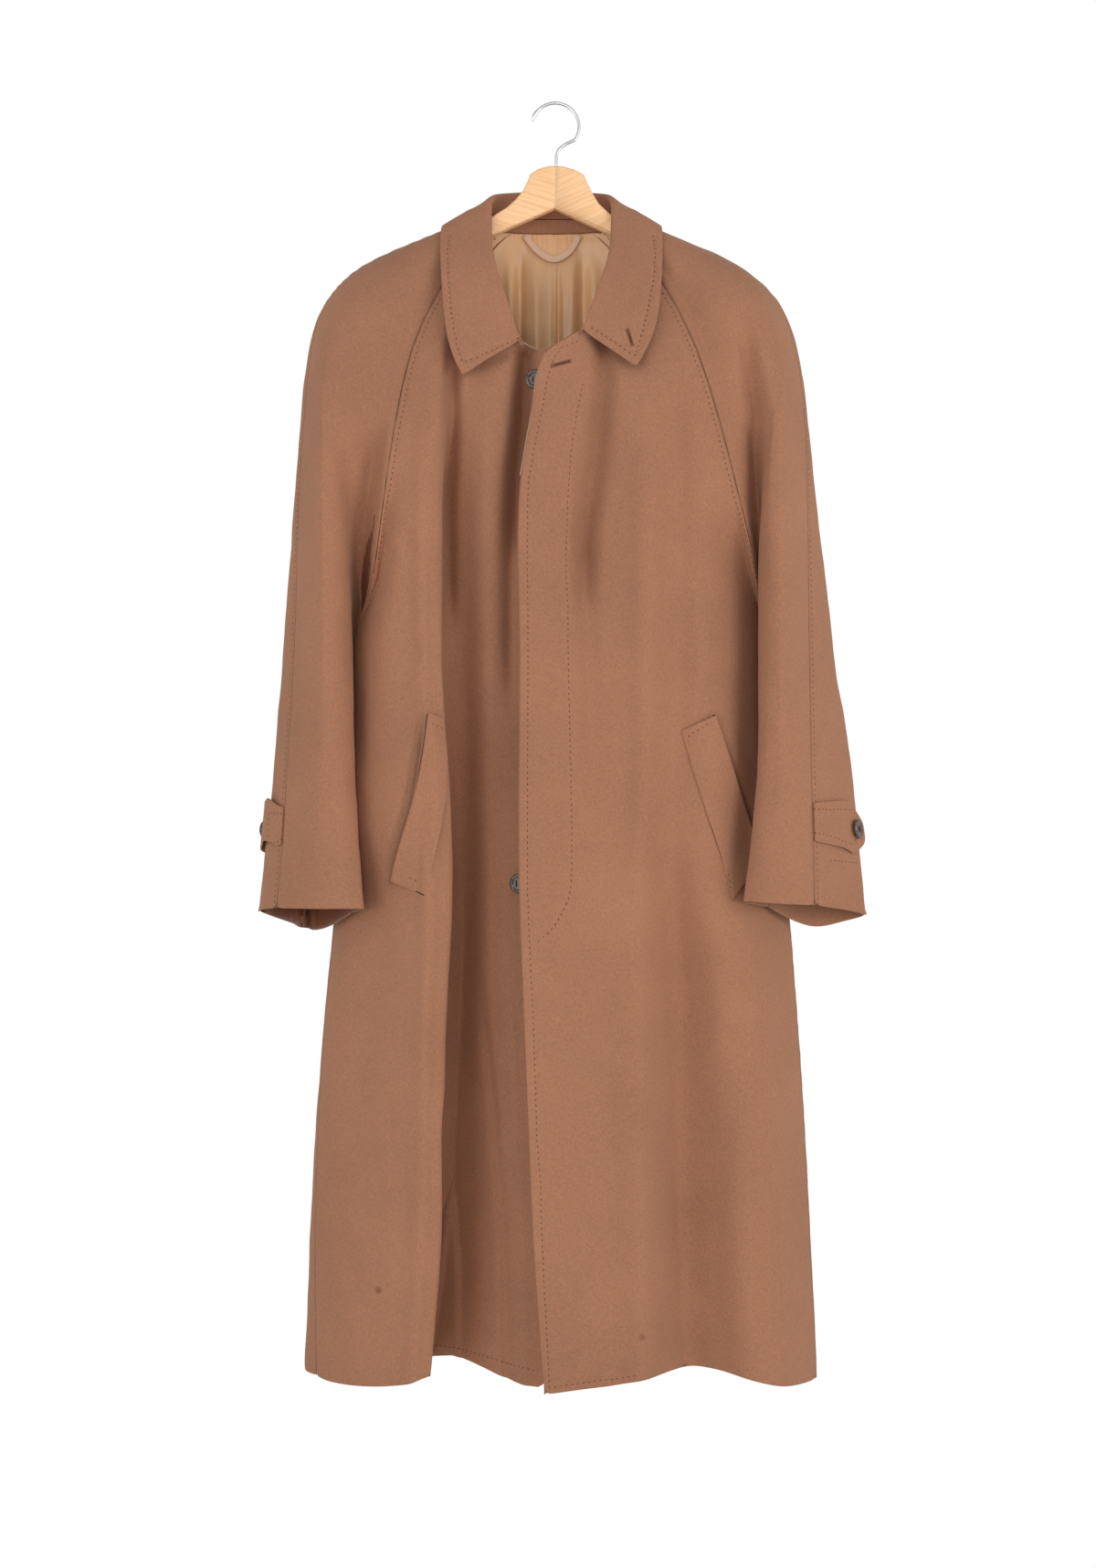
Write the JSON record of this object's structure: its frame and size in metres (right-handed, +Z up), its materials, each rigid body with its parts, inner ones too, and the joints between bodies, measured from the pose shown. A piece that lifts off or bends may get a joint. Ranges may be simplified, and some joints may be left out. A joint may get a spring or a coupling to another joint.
{
  "type": "wool overcoat on a hanger",
  "caption": "Knee-length wool overcoat with raglan sleeves, fly front, turned-down collar, slanted pocket welts and cuff tabs, hung open at the neck on a flat wooden hanger.",
  "frame": {"origin": "underside of the hook's wire at its top, where it hangs on a rail or peg", "axes": "+Z up, the coat's front faces -Y, the wearer's right side is at -X"},
  "size_m": [0.648, 0.173, 1.3674],
  "materials": {
    "wool": "brushed wool, light nap",
    "satin": "satin lining",
    "tape": "smooth tape",
    "horn": "polished horn",
    "pine": "clear varnish",
    "wire": "bright zinc"
  },
  "bodies": {
    "root": {"front_left": "wool", "front_right": "wool", "fly_facing": "wool", "back": "wool", "sleeve_left_front": "wool", "sleeve_left_back": "wool", "sleeve_right_front": "wool", "sleeve_right_back": "wool", "collar": "wool", "collar_stand": "wool", "pocket_welt_left": "wool", "pocket_welt_right": "wool", "cuff_tab_left": "wool", "cuff_tab_right": "wool", "cuff_button_left": "horn", "cuff_button_right": "horn", "front_button_1": "horn", "front_button_2": "horn", "front_button_3": "horn", "front_button_4": "horn", "front_button_5": "horn", "lining_back": "satin", "hanging_loop": "tape", "hanger_arm_left": "pine", "hanger_arm_right": "pine", "hanger_hook": "wire"}
  },
  "joints": []
}
